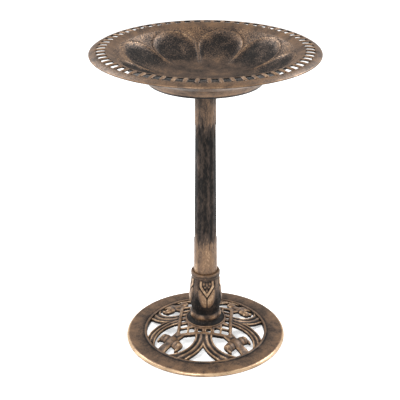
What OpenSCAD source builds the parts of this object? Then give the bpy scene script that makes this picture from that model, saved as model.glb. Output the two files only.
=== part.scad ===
// Pedestal bird bath: openwork dished bowl, fluted column, leaf collar and
// scrollwork base. Millimetres, +Z up, origin at the middle of the base's
// underside. The front of the base faces -Y.

/* [Bowl] */
// Outer radius of the bowl's lip
bowl_r = 252; // [240:1:265]
// Height of the lip above the ground
lip_z = 711; // [700:1:725]
// Height of the rim's crest above the lip
crest_rise = 9; // [7:0.5:10]
// Radius of the rim's crest
crest_r = 217; // [214:0.5:219]
// Radius at which the rim meets the dish
dish_r = 198; // [192:1:204]
// Height of the dish's floor above the ground
dish_floor_z = 652; // [650:0.5:656]
// Wall of the dish and the rim
bowl_wall = 4.5; // [4:0.5:6]
// Outer radius of the foot ring under the bowl
foot_ring_r = 127; // [110:1:130]
// Height of the foot ring's lower edge above the ground
foot_ring_z = 646; // [642:0.5:648]
// Slots round the rim
slot_count = 60; // [48:1:72]
// Width of one rim slot
slot_w = 13; // [8:0.5:15]
// Inner and outer radius of the slots
slot_inner_r = 216; // [214:1:222]
slot_outer_r = 234; // [228:1:238]
// Turn of the slots about the axis, in degrees
slot_phase = 2.2; // [0:0.1:6]

/* [Bowl fixing] */
// Radius of the plug that turns in the column head
plug_r = 12; // [10:0.5:14]
// How far the plug reaches down into the column head
plug_depth = 24; // [18:1:32]
// Radius of the plug's flange under the bowl
plug_flange_r = 22.5; // [20:0.5:24]
// Running clearance between plug and socket, on the radius
plug_clearance = 0.08; // [0.03:0.01:0.1]
// Screws that hold the plug to the bowl
plug_screws_n = 4; // [3:1:6]

/* [Column] */
// Outer radius of the column at its top
column_top_r = 23.2; // [23:0.1:28]
// Outer radius of the column where it enters the collar
column_low_r = 27.4; // [26:0.1:28.5]
// Height of the column head's upper face
column_top_z = 639; // [630:1:639]
// Radius of the bore through the column
column_bore_r = 19.5; // [16:0.5:20]
// Flutes round the column
flute_count = 12; // [8:1:20]
// Depth of one flute
flute_depth = 0.8; // [0.5:0.1:1]

/* [Leaf collar] */
// Height of the collar's upper face
collar_top_z = 176; // [170:1:182]
// Radius of the collar's top band
collar_top_r = 35; // [34:0.5:38]
// Radius of the collar at its widest
collar_belly_r = 39; // [38.5:0.5:44]
// Radius of the collar's flange
collar_flange_r = 47.5; // [46:0.5:48]

/* [Base] */
// Outer radius of the base ring
base_r = 191.8; // [185:0.1:200]
// Inner radius of the base ring
ring_inner_r = 143; // [138:1:148]
// Height of the ring's inner ridge
ring_ridge_z = 13; // [11:0.5:15]
// Height of the hub's upper face, where the collar stands
hub_z = 42.5; // [40:0.5:54]
// Half the side of the square frame round the hub
frame_half = 66; // [60:1:68]
// Width of the square frame's bars
frame_bar = 8; // [6:0.5:10]
// Width of one scroll arm
arm_w = 27; // [22:0.5:29]

/* [Hardware] */
// Radius of the long bolt that clamps base, collar and column
bolt_r = 4; // [3:0.5:5]
// Screws between the base and the collar
collar_screws_n = 4; // [3:1:6]

/* [Hidden] */
$fn = 96;
eps = 0.01;
joint_gap = 0.2;

// Dish and rim
dish_power = 3.2;
rim_wall = 4;
lip_t = 2;
curve_steps = 14;
boss_r = 30;
boss_z = 645;
foot_ring_w = 6;

// Column
column_taper = (column_low_r - column_top_r) / (column_top_z - collar_top_z);
column_foot_z = 118;
column_foot_r = column_low_r + column_taper * (collar_top_z - column_foot_z);
column_len = column_top_z - 6 - column_foot_z;
head_cap = 6;
head_plug_len = 34;
foot_plug_len = 52;
washer_t = 1.5;
flange_t = boss_z - column_top_z - washer_t;

// Bolt and nut across their corners
nut_corner_r = 7.5;
nut_t = 6.5;
nut_z = column_foot_z + foot_plug_len - nut_t - 1;
hub_low_z = 32;
bolt_washer_t = 2;
bolt_washer_r = 16;
bolt_head_t = 5.3;
collar_screw_r = 2.4;
collar_screw_pcr = 26;
collar_screw_top_z = hub_z + 7;

// Plug screws
plug_screw_r = 1.9;
plug_screw_pcr = 17.5;
plug_screw_reach = 5;

// Base plan
arm_centre = [70, -67];
arm_mid_r = 63.5;
plan_r = ring_inner_r + 3;
dome_drop = 10;
rung_w = 5;
rung_pitch = 19.5;

// Height of the dish's upper face at radius r
function dish_z(r) = dish_floor_z + (lip_z - dish_floor_z) * pow(r / dish_r, dish_power);

// Points of the dish's upper face, from the middle outwards
function dish_points(drop) = [for (i = [0 : curve_steps])
    let (r = dish_r * sqrt(i / curve_steps)) [r, dish_z(r) - drop]];

// Height of the rim's upper face at radius r: steep inside the crest, outside it level and then falling
function rim_z(r) = lip_z + crest_rise * (1 - (r < crest_r
    ? pow((crest_r - r) / (crest_r - dish_r), 1.25)
    : pow((r - crest_r) / (bowl_r - crest_r), 2.7)));

// Points of the rim from radius r0 to r1, lowered by drop
function rim_points(r0, r1, drop) = [for (i = [0 : curve_steps])
    let (r = r0 + (r1 - r0) * i / curve_steps) [r, rim_z(r) - drop]];

function reversed(list) = [for (i = [len(list) - 1 : -1 : 0]) list[i]];

// Closed outline of the bowl's wall: up the dish, over the rim, back underneath
module bowl_outline() {
    polygon(concat(dish_points(0),
                   rim_points(dish_r + 1, crest_r, 0),
                   rim_points(crest_r + 1.5, bowl_r, 0),
                   [[bowl_r, lip_z - lip_t], [bowl_r - 1.5, lip_z - lip_t]],
                   reversed(rim_points(crest_r, bowl_r - 6, rim_wall)),
                   reversed(rim_points(dish_r + 2, crest_r - 1.5, rim_wall)),
                   reversed(dish_points(bowl_wall * 1.3))));
}

// Bowl: dished shell with a raised openwork rim, foot ring and fixing boss
module bowl() {
    color("peru") difference() {
        union() {
            rotate_extrude() bowl_outline();
            rotate_extrude() foot_ring_outline();
            translate([0, 0, boss_z]) cylinder(h = dish_floor_z - boss_z - 1, r = boss_r);
        }
        for (i = [0 : slot_count - 1])
            rotate([0, 0, slot_phase + i * 360 / slot_count]) rim_slot();
        for (i = [0 : plug_screws_n - 1])
            rotate([0, 0, i * 360 / plug_screws_n]) translate([plug_screw_pcr, 0, boss_z - eps])
                cylinder(h = plug_screw_reach, r = plug_screw_r + 0.05);
    }
}

// One slot through the crest of the rim
module rim_slot() {
    translate([slot_inner_r, -slot_w / 2, lip_z - 4])
        cube([slot_outer_r - slot_inner_r, slot_w, crest_rise + 6]);
}

// The foot ring reaches up into the underside of the dish
module foot_ring_outline() {
    top_z = dish_z(foot_ring_r) - bowl_wall;
    polygon([[foot_ring_r - foot_ring_w, foot_ring_z], [foot_ring_r, foot_ring_z],
             [foot_ring_r + 3, foot_ring_z + 4], [foot_ring_r + 7, top_z],
             [foot_ring_r - foot_ring_w, top_z]]);
}

// Plug screwed under the bowl: it turns in the column head
module bowl_plug() {
    color("dimgray") difference() {
        union() {
            translate([0, 0, boss_z - flange_t]) cylinder(h = flange_t, r = plug_flange_r);
            translate([0, 0, column_top_z - plug_depth])
                cylinder(h = boss_z - column_top_z + plug_depth - eps, r = plug_r);
        }
        for (i = [0 : plug_screws_n - 1])
            rotate([0, 0, i * 360 / plug_screws_n])
                translate([plug_screw_pcr, 0, boss_z - flange_t - eps]) {
                    cylinder(h = flange_t + 1, r = plug_screw_r + 0.3);
                    cylinder(h = 1.5, r = plug_screw_r + 1.8);
                }
    }
}

// Pan-head screws through the plug's flange into the bowl's boss
module plug_screws() {
    color("silver") for (i = [0 : plug_screws_n - 1])
        rotate([0, 0, i * 360 / plug_screws_n])
            translate([plug_screw_pcr, 0, boss_z - flange_t]) {
                translate([0, 0, 0.1]) cylinder(h = 1.39, r = plug_screw_r + 1.5);
                cylinder(h = flange_t + plug_screw_reach - 0.5, r = plug_screw_r);
            }
}

// Rubber washer between the column head and the plug's flange
module seat_washer() {
    color("black") translate([0, 0, column_top_z + 0.05]) difference() {
        cylinder(h = washer_t - 0.1, r = plug_flange_r);
        translate([0, 0, -1]) cylinder(h = washer_t + 2, r = plug_r + 0.4);
    }
}

// Head of the column: a cap with a plug in the tube and a socket for the bowl
module column_head() {
    color("rosybrown") difference() {
        union() {
            translate([0, 0, column_top_z - head_cap])
                cylinder(h = head_cap, r = column_top_r + 0.7);
            translate([0, 0, column_top_z - head_plug_len])
                cylinder(h = head_plug_len - 1, r = column_bore_r - 0.05);
        }
        translate([0, 0, column_top_z - plug_depth - 2])
            cylinder(h = plug_depth + 3, r = plug_r + plug_clearance);
    }
}

// Tapered tube with shallow flutes
module column_tube() {
    color("darkslategray") difference() {
        translate([0, 0, column_foot_z])
            cylinder(h = column_len, r1 = column_foot_r, r2 = column_top_r);
        translate([0, 0, column_foot_z - 1])
            cylinder(h = column_len + 3, r = column_bore_r);
        for (i = [0 : flute_count - 1])
            rotate([0, 0, (i + 0.5) * 360 / flute_count]) flute();
    }
}

// One flute, leaning with the taper and stopping short of the head
module flute() {
    flute_r = 6;
    translate([column_low_r + flute_r - flute_depth, 0, collar_top_z - 8])
        rotate([0, -atan(column_taper), 0])
            cylinder(h = column_top_z - collar_top_z - 8, r = flute_r);
}

// Plug in the column's lower end, with a pocket for the nut
module column_foot() {
    color("dimgray") difference() {
        translate([0, 0, column_foot_z])
            cylinder(h = foot_plug_len, r = column_bore_r - 0.05);
        translate([0, 0, column_foot_z - 1]) cylinder(h = foot_plug_len + 3, r = bolt_r + 0.4);
        translate([0, 0, nut_z]) cylinder(h = nut_t + 3, r = nut_corner_r + 0.15, $fn = 6);
    }
}

// Nut held in the column's foot
module captive_nut() {
    color("silver") translate([0, 0, nut_z + 0.05]) difference() {
        cylinder(h = nut_t, r = nut_corner_r, $fn = 6);
        translate([0, 0, -1]) cylinder(h = nut_t + 2, r = bolt_r + 0.05);
    }
}

// Outline of the collar, from its flange up to its top band
module collar_outline() {
    neck_r = 34;
    neck_z = hub_z + 22;
    bead_r = 4.5;
    belly_curve_r = 110;
    belly_z = hub_z + 60.5;
    band_h = 11;
    band_bead_r = 3.5;
    difference() {
        union() {
            polygon([[0, hub_z], [collar_flange_r, hub_z], [collar_flange_r, hub_z + 3],
                     [collar_flange_r - 1.5, hub_z + 4.2], [neck_r + 4, hub_z + 6.5],
                     [neck_r + 1.5, hub_z + 10], [neck_r + 1, neck_z], [neck_r - 1, neck_z + 2],
                     [0, neck_z + 2]]);
            translate([neck_r - 1, neck_z - 3]) circle(r = bead_r);
            square_between(0, neck_r, neck_z, collar_top_z - 6);
            intersection() {
                translate([collar_belly_r - belly_curve_r, belly_z])
                    circle(r = belly_curve_r, $fn = 192);
                square_between(0, collar_belly_r + 1, neck_z + 10, collar_top_z - 8);
            }
            square_between(0, collar_top_r - 1.5, collar_top_z - band_h, collar_top_z);
            translate([collar_top_r - band_bead_r, collar_top_z - 7]) circle(r = band_bead_r);
        }
        // Keeps the outline on one side of the axis
        translate([-300, 0]) square([300, 400]);
    }
}

// Rectangle given by its limits
module square_between(x0, x1, z0, z1) {
    translate([x0, z0]) square([x1 - x0, z1 - z0]);
}

// Collar round the column's foot
module leaf_collar() {
    color("saddlebrown") difference() {
        rotate_extrude() collar_outline();
        translate([0, 0, column_foot_z])
            cylinder(h = collar_top_z - column_foot_z + 1, r = column_foot_r + joint_gap);
        translate([0, 0, hub_z - 1]) cylinder(h = collar_top_z, r = bolt_r + 0.5);
        for (i = [0 : collar_screws_n - 1])
            rotate([0, 0, 45 + i * 360 / collar_screws_n])
                translate([collar_screw_pcr, 0, hub_z - 1])
                    cylinder(h = collar_screw_top_z - hub_z + 1.5, r = collar_screw_r + 0.05);
    }
}

// Cross-section of the ring that stands on the ground
module ring_outline() {
    edge_r = 4.5;
    union() {
        polygon([[ring_inner_r, 0], [ring_inner_r, ring_ridge_z - 2], [ring_inner_r + 2, ring_ridge_z],
                 [ring_inner_r + 6, ring_ridge_z], [ring_inner_r + 9, ring_ridge_z - 2],
                 [base_r - edge_r, 2 * edge_r], [base_r - edge_r, 0]]);
        translate([base_r - edge_r, edge_r]) circle(r = edge_r);
    }
}

// Cross-section of the dome that the scrollwork lies on
module dome_outline() {
    polygon([[0, hub_z - 0.5], [collar_flange_r + 1, hub_z - 0.5], [plan_r, ring_ridge_z - 1],
             [plan_r, ring_ridge_z - dome_drop], [collar_flange_r + 6, hub_low_z], [0, hub_low_z]]);
}

// Two arms that leave the frame side by side and curl apart to the ring
module arm_pair() {
    for (side = [0, 1]) mirror([side, 0]) intersection() {
        translate(arm_centre) difference() {
            circle(r = arm_mid_r + arm_w / 2);
            circle(r = arm_mid_r - arm_w / 2);
        }
        translate([0, -plan_r]) square([plan_r * 0.6, plan_r + arm_centre[1] + frame_bar]);
    }
}

// Flat bar between two points
module bar(from, to, w) {
    d = to - from;
    translate(from) rotate([0, 0, atan2(d[1], d[0])])
        translate([-w / 2, -w / 2]) square([norm(d) + w, w]);
}

// Three-lobed flower on a stem from the ring, its stem along +X
module flower() {
    root = [88, 0];
    body_at = [105, 0];
    body_r = 15;
    fork = [126, 0];
    curl_at = [110, 29];
    curl_r = 10;
    stem_w = 11;
    lobe_w = 9;
    translate(body_at) circle(r = body_r);
    bar(root, [plan_r - 8, 0], stem_w);
    for (side = [-1, 1]) {
        bar(fork, [curl_at[0] + 2, side * (curl_at[1] - 3)], lobe_w);
        translate([curl_at[0], side * curl_at[1]]) circle(r = curl_r);
    }
}

// Square frame with rungs between it and the hub
module frame_and_rungs() {
    difference() {
        square(2 * frame_half, center = true);
        square(2 * (frame_half - frame_bar), center = true);
    }
    for (turn = [0, 90]) rotate([0, 0, turn]) for (i = [-2 : 2])
        translate([i * rung_pitch - rung_w / 2, -frame_half + 1])
            square([rung_w, 2 * frame_half - 2]);
}

// Plan of the openwork inside the ring
module openwork_plan() {
    intersection() {
        circle(r = plan_r);
        union() {
            for (i = [0 : 3]) rotate([0, 0, i * 90]) {
                arm_pair();
                rotate([0, 0, 45]) flower();
            }
            frame_and_rungs();
            circle(r = collar_flange_r + 1);
        }
    }
}

// Base: ring, domed scrollwork and hub in one casting
module scroll_base() {
    color("peru") difference() {
        union() {
            rotate_extrude() ring_outline();
            intersection() {
                linear_extrude(height = hub_z + 5) openwork_plan();
                rotate_extrude() dome_outline();
            }
            translate([0, 0, hub_low_z]) cylinder(h = hub_z - hub_low_z, r = collar_flange_r - 1);
        }
        translate([0, 0, hub_low_z - 1]) cylinder(h = hub_z, r = bolt_r + 0.5);
        for (i = [0 : collar_screws_n - 1])
            rotate([0, 0, 45 + i * 360 / collar_screws_n])
                translate([collar_screw_pcr, 0, hub_low_z - 1])
                    cylinder(h = hub_z, r = collar_screw_r + 0.3);
    }
}

// Long bolt from under the hub up into the captive nut
module base_bolt() {
    color("silver") {
        translate([0, 0, hub_low_z - bolt_washer_t - bolt_head_t])
            cylinder(h = bolt_head_t, r = nut_corner_r, $fn = 6);
        translate([0, 0, hub_low_z - bolt_washer_t - 1])
            cylinder(h = nut_z + nut_t + 5 - hub_low_z + bolt_washer_t, r = bolt_r);
    }
}

// Washer under the bolt's head
module bolt_washer() {
    color("silver") translate([0, 0, hub_low_z - bolt_washer_t]) difference() {
        cylinder(h = bolt_washer_t - 0.02, r = bolt_washer_r);
        translate([0, 0, -1]) cylinder(h = bolt_washer_t + 2, r = bolt_r + 0.4);
    }
}

// Screws up through the hub into the collar
module collar_screws() {
    head_t = 3;
    color("silver") for (i = [0 : collar_screws_n - 1])
        rotate([0, 0, 45 + i * 360 / collar_screws_n])
            translate([collar_screw_pcr, 0, hub_low_z - head_t]) {
                cylinder(h = head_t - 0.02, r = collar_screw_r + 2);
                cylinder(h = collar_screw_top_z - hub_low_z + head_t, r = collar_screw_r);
            }
}

bowl();
bowl_plug();
plug_screws();
seat_washer();
column_head();
column_tube();
column_foot();
captive_nut();
leaf_collar();
scroll_base();
base_bolt();
bolt_washer();
collar_screws();
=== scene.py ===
"""Pedestal bird bath in cast resin: its visible pieces and finishes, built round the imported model.

Pieces are shaped in millimetres and scaled to metres when they are done. Heights are measured
from the ground.
"""

import logging
import math
from dataclasses import dataclass
from enum import Enum
from typing import Any, Iterable, Sequence

import bmesh
import bpy
import numpy as np
from mathutils import Matrix, Vector


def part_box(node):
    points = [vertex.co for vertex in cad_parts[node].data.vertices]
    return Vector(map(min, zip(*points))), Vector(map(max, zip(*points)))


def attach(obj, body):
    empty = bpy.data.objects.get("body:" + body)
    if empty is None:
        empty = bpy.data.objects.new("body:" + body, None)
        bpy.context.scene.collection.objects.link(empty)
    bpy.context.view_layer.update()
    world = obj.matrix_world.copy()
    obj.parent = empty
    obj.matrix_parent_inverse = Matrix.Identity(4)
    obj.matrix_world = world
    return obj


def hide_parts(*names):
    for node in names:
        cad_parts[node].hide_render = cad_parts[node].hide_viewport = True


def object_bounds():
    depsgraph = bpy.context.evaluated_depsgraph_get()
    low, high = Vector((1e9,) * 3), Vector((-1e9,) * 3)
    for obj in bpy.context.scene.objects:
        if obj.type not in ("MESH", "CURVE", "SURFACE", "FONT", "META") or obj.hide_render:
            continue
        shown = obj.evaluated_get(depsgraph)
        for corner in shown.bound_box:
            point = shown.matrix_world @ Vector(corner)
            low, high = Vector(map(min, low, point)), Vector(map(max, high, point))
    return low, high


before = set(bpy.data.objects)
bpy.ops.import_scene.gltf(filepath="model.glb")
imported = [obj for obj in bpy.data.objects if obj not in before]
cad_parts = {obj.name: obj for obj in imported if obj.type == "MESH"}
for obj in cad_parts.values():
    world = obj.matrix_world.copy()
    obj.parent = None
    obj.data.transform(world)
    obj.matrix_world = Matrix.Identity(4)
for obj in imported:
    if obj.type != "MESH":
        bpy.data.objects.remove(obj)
CAD_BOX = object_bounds()

MM = 0.001
# Points closer together than this, in millimetres, are merged
WELD = 0.01
log = logging.getLogger("bird_bath")

Outline = list[tuple[float, float]]
Array = np.ndarray


class Slot(Enum):
    """Material slots of the record."""

    BOWL = "bronzed_resin_bowl"
    COLUMN = "bronzed_resin_column"
    BASE = "bronzed_resin_base"
    PLASTIC = "black_plastic"
    RUBBER = "rubber"
    STEEL = "steel"


# Numbers and curves


def linear(hex_colour: str) -> tuple[float, float, float, float]:
    """Turns an sRGB hex colour into the linear colour that a shader takes.

    Args:
        hex_colour: The colour, such as "#9c7754".

    Returns:
        Red, green, blue and an alpha of 1.
    """
    parts = [int(hex_colour[i:i + 2], 16) / 255 for i in (1, 3, 5)]
    red, green, blue = (p / 12.92 if p <= 0.04045 else ((p + 0.055) / 1.055) ** 2.4 for p in parts)
    return red, green, blue, 1.0


def node_box(name: str) -> tuple[Vector, Vector]:
    """Returns the lowest and highest corner of a CAD node in millimetres."""
    low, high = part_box(name)
    return low / MM, high / MM


def ease(value: Array, start: float, end: float) -> Array:
    """Returns 0 at start, 1 at end and a smooth step between them."""
    t = np.clip((value - start) / (end - start), 0, 1)
    return t * t * (3 - 2 * t)


def fold(angle: Array, pitch: float) -> Array:
    """Returns an angle as its distance, with a sign, from the nearest multiple of pitch."""
    return (angle + pitch / 2) % pitch - pitch / 2


def hump(value: Array, width: float) -> Array:
    """Returns 1 at zero, falling off smoothly over about width on both sides."""
    return np.exp(-((value / width) ** 2))


# Meshes


def lathe(outline: Outline, steps: int, closed: bool,
          start_angle: float = 0.0) -> bmesh.types.BMesh:
    """Spins an outline once round the vertical axis.

    Args:
        outline: Points of (radius, height).
        steps: Steps in the full turn.
        closed: Whether the last point joins the first.
        start_angle: Angle in degrees at which the first step starts.

    Returns:
        The bmesh, its poles closed.
    """
    bm = bmesh.new()
    verts = [bm.verts.new((radius, 0, height)) for radius, height in outline]
    pairs = list(zip(verts, verts[1:]))
    if closed:
        pairs.append((verts[-1], verts[0]))
    edges = [bm.edges.new(pair) for pair in pairs]
    bmesh.ops.spin(bm, geom=verts + edges, cent=(0, 0, 0), axis=(0, 0, 1), angle=2 * math.pi,
                   steps=steps, use_merge=True)
    bmesh.ops.remove_doubles(bm, verts=bm.verts, dist=WELD)
    turn = Matrix.Rotation(math.radians(start_angle), 3, "Z")
    bmesh.ops.rotate(bm, cent=(0, 0, 0), matrix=turn, verts=bm.verts)
    return bm


def piece_from(name: str, bm: bmesh.types.BMesh) -> bpy.types.Object:
    """Makes a smooth-shaded object of a bmesh, its faces turned outwards, and frees the bmesh.

    Args:
        name: The piece's name.
        bm: The bmesh, in millimetres.

    Returns:
        The piece, linked to the scene.
    """
    bmesh.ops.recalc_face_normals(bm, faces=bm.faces)
    mesh = bpy.data.meshes.new(name)
    bm.to_mesh(mesh)
    bm.free()
    mesh.shade_smooth()
    piece = bpy.data.objects.new(name, mesh)
    bpy.context.scene.collection.objects.link(piece)
    return piece


def points_of(piece: bpy.types.Object) -> Array:
    """Reads a piece's points.

    Args:
        piece: The piece.

    Returns:
        Rows of x, y and z.
    """
    flat = np.empty(len(piece.data.vertices) * 3)
    piece.data.vertices.foreach_get("co", flat)
    return flat.reshape(-1, 3)


def normals_of(piece: bpy.types.Object) -> Array:
    """Reads the directions in which a piece's points face.

    Args:
        piece: The piece.

    Returns:
        Rows of x, y and z.
    """
    flat = np.empty(len(piece.data.vertices) * 3, np.float32)
    piece.data.vertices.foreach_get("normal", flat)
    return flat.reshape(-1, 3)


def polar(points: Array) -> tuple[Array, Array]:
    """Returns the distance from the axis and the angle round it, in degrees, of each point."""
    x, y = points[:, 0], points[:, 1]
    return np.hypot(x, y), np.degrees(np.arctan2(y, x))


def move_points(piece: bpy.types.Object, points: Array) -> None:
    """Puts a piece's points at these places."""
    piece.data.vertices.foreach_set("co", points.astype(np.float32).ravel())
    piece.data.update()


def write_values(piece: bpy.types.Object, name: str, values: Array) -> None:
    """Stores one number for each point, for the piece's material to read."""
    layer = piece.data.attributes.new(name, "FLOAT", "POINT")
    layer.data.foreach_set("value", values.astype(np.float32))


def stand_out(piece: bpy.types.Object, passes: int) -> Array:
    """Measures how far each point stands out of the surface round it, where a rag would rub.

    Args:
        piece: The piece.
        passes: Smoothing passes; more passes look at a wider surrounding.

    Returns:
        Millimetres, positive on ridges and negative in grooves.
    """
    points = points_of(piece)
    count = len(points)
    ends = np.empty(len(piece.data.edges) * 2, np.int32)
    piece.data.edges.foreach_get("vertices", ends)
    first, second = ends[0::2], ends[1::2]
    degree = np.bincount(ends, minlength=count)[:, None]
    soft = points.copy()
    for _ in range(passes):
        around = np.stack([np.bincount(first, soft[second, k], count)
                           + np.bincount(second, soft[first, k], count) for k in range(3)], 1)
        soft = (soft + around / degree) / 2
    return ((points - soft) * normals_of(piece)).sum(1)


def settle(piece: bpy.types.Object, body: str, material: bpy.types.Material,
           nodes: Sequence[str]) -> None:
    """Scales a finished piece to metres, dresses it and ties it to the frame.

    Args:
        piece: The piece, in millimetres.
        body: The body that it moves with.
        material: Its finish.
        nodes: The CAD nodes that it stands for.
    """
    piece.data.transform(Matrix.Scale(MM, 4))
    piece.data.materials.append(material)
    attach(piece, body)
    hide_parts(*nodes)
    log.info("%s: %d faces, rides on %s", piece.name, len(piece.data.polygons), body)


# Finishes


def add_node(tree: bpy.types.NodeTree, kind: str, settings: dict[str, Any] | None = None,
             inputs: dict[str | int, Any] | None = None,
             stops: Iterable[tuple[float, str]] = ()) -> bpy.types.Node:
    """Adds a node to a material, with its settings and links.

    Args:
        tree: The material's node tree.
        kind: The node's type name.
        settings: Properties of the node.
        inputs: A value, or an output to link, for each named or numbered input.
        stops: Places and hex colours of a colour ramp.

    Returns:
        The node.
    """
    node = tree.nodes.new(kind)
    for name, value in (settings or {}).items():
        setattr(node, name, value)
    for key, value in (inputs or {}).items():
        if isinstance(value, bpy.types.NodeSocket):
            tree.links.new(value, node.inputs[key])
        else:
            node.inputs[key].default_value = value
    for index, (place, colour) in enumerate(stops):
        elements = node.color_ramp.elements
        stop = elements[index] if index < 2 else elements.new(place)
        stop.position = place
        stop.color = linear(colour)
    return node


def new_material(name: str) -> tuple[bpy.types.Material, bpy.types.NodeTree]:
    """Makes an empty node material.

    Args:
        name: The material's name.

    Returns:
        The material and its node tree.
    """
    material = bpy.data.materials.new(name)
    material.use_nodes = True
    material.node_tree.nodes.clear()
    return material, material.node_tree


# Grit of the stippled relief; the real one is finer, and this is as coarse as it needs to show
STIPPLE_MM = 2.4
STIPPLE_GAIN = 1.3


@dataclass(frozen=True)
class BronzedResin:
    """Cast polyester resin, near black, with bronze paint rubbed over the high places.

    The eye gets a satin surface that is dark in every groove, warm bronze on ridges, clouded
    where the rag missed, and speckled where the casting is stippled. In a few places the rub
    values also carry painted highlights and painted shade.
    """

    name: str
    cloud_mm: float = 34.0
    cloud_stretch: float = 1.0
    cloud_gain: float = 0.5
    fleck_mm: float = 3.2
    fleck_gain: float = 0.3
    base_rub: float = 0.0
    shadow: str = "#141211"
    brown: str = "#3f3025"
    bronze: str = "#7a5d43"
    light: str = "#c6a886"

    def material(self) -> bpy.types.Material:
        """Builds the material from each point's rub and stipple, which are 0 where missing.

        Returns:
            The material.
        """
        material, tree = new_material(self.name)
        place = add_node(tree, "ShaderNodeTexCoord").outputs["Object"]
        rub, stipple = (
            add_node(tree, "ShaderNodeAttribute", {"attribute_name": name}).outputs["Fac"]
            for name in ("rub", "stipple"))
        stretched = add_node(tree, "ShaderNodeMapping", None, {
            "Vector": place, "Scale": (1, 1, 1 / self.cloud_stretch)}).outputs["Vector"]
        cloud = add_node(tree, "ShaderNodeTexNoise", None, {
            "Vector": stretched, "Scale": 1 / (self.cloud_mm * MM), "Detail": 5.0,
            "Roughness": 0.62, "Distortion": 0.4}).outputs["Fac"]
        fleck = add_node(tree, "ShaderNodeTexNoise", None, {
            "Vector": stretched, "Scale": 1 / (self.fleck_mm * MM), "Detail": 3.0,
            "Roughness": 0.7}).outputs["Fac"]
        grit = add_node(tree, "ShaderNodeTexNoise", None, {
            "Vector": place, "Scale": 1 / (STIPPLE_MM * MM), "Detail": 1.0}).outputs["Fac"]

        level = self.weighted(tree, rub, cloud, self.cloud_gain, self.base_rub)
        level = self.weighted(tree, level, fleck, self.fleck_gain, 0.0)
        grit_centred = add_node(tree, "ShaderNodeMath", {"operation": "SUBTRACT"}, {
            0: grit, 1: 0.5})
        grit_share = add_node(tree, "ShaderNodeMath", {"operation": "MULTIPLY"}, {
            0: grit_centred.outputs[0], 1: stipple})
        level = add_node(tree, "ShaderNodeMath", {"operation": "MULTIPLY_ADD", "use_clamp": True}, {
            0: grit_share.outputs[0], 1: STIPPLE_GAIN, 2: level}).outputs[0]

        colour = add_node(tree, "ShaderNodeValToRGB", None, {"Fac": level}, [
            (0.0, self.shadow), (1.0, self.light), (0.3, self.brown), (0.66, self.bronze)])
        roughness = add_node(tree, "ShaderNodeMapRange", None, {
            "Value": level, "To Min": 0.6, "To Max": 0.3})
        gloss = add_node(tree, "ShaderNodeMapRange", None, {
            "Value": level, "From Max": 0.5, "To Min": 0.12, "To Max": 0.5})
        metallic = add_node(tree, "ShaderNodeMapRange", None, {
            "Value": level, "From Min": 0.15, "From Max": 0.8, "To Min": 0.0, "To Max": 0.45})
        height = add_node(tree, "ShaderNodeMath", {"operation": "MULTIPLY_ADD"}, {
            0: grit_share.outputs[0], 1: 2.0, 2: fleck})
        bump = add_node(tree, "ShaderNodeBump", None, {
            "Strength": 0.35, "Distance": 0.5 * MM, "Height": height.outputs[0]})
        shader = add_node(tree, "ShaderNodeBsdfPrincipled", None, {
            "Base Color": colour.outputs["Color"], "Roughness": roughness.outputs[0],
            "Metallic": metallic.outputs[0], "Specular IOR Level": gloss.outputs[0],
            "Normal": bump.outputs["Normal"], "IOR": 1.5})
        add_node(tree, "ShaderNodeOutputMaterial", None, {"Surface": shader.outputs["BSDF"]})
        return material

    @staticmethod
    def weighted(tree: bpy.types.NodeTree, level: bpy.types.NodeSocket,
                 noise: bpy.types.NodeSocket, gain: float, offset: float) -> bpy.types.NodeSocket:
        """Adds a noise, centred on zero, to a level.

        Args:
            tree: The material's node tree.
            level: The level so far.
            noise: A noise from 0 to 1.
            gain: How strongly the noise counts.
            offset: A constant that is added too.

        Returns:
            The new level.
        """
        centred = add_node(tree, "ShaderNodeMath", {"operation": "MULTIPLY_ADD"}, {
            0: noise, 1: gain * 2, 2: offset - gain})
        return add_node(tree, "ShaderNodeMath", {"operation": "ADD"}, {
            0: level, 1: centred.outputs[0]}).outputs[0]


@dataclass(frozen=True)
class PlainFinish:
    """A finish in one colour whose grain shows in its roughness and as a fine bump."""

    name: str
    colour: str
    metallic: float
    smoothest: float
    roughest: float
    grain_mm: float

    def material(self) -> bpy.types.Material:
        """Builds the material.

        Returns:
            The material.
        """
        material, tree = new_material(self.name)
        place = add_node(tree, "ShaderNodeTexCoord").outputs["Object"]
        grain = add_node(tree, "ShaderNodeTexNoise", None, {
            "Vector": place, "Scale": 1 / (self.grain_mm * MM), "Detail": 3.0}).outputs["Fac"]
        roughness = add_node(tree, "ShaderNodeMapRange", None, {
            "Value": grain, "From Min": 0.3, "From Max": 0.7,
            "To Min": self.smoothest, "To Max": self.roughest})
        bump = add_node(tree, "ShaderNodeBump", None, {
            "Strength": 0.2, "Distance": 0.1 * MM, "Height": grain})
        shader = add_node(tree, "ShaderNodeBsdfPrincipled", None, {
            "Base Color": linear(self.colour), "Metallic": self.metallic,
            "Roughness": roughness.outputs[0], "Normal": bump.outputs["Normal"]})
        add_node(tree, "ShaderNodeOutputMaterial", None, {"Surface": shader.outputs["BSDF"]})
        return material


# The column's clouds run along it, where the rag went up and down; the bowl's are the widest
BOWL_RESIN = BronzedResin("bronzed_cast_resin_bowl")
COLUMN_RESIN = BronzedResin("bronzed_cast_resin_column", cloud_mm=16, cloud_stretch=3, fleck_mm=2.6)
HEAD_RESIN = BronzedResin("bronzed_cast_resin_head", cloud_mm=16, base_rub=0.12)
BASE_RESIN = BronzedResin("bronzed_cast_resin_base", cloud_mm=26)
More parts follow.
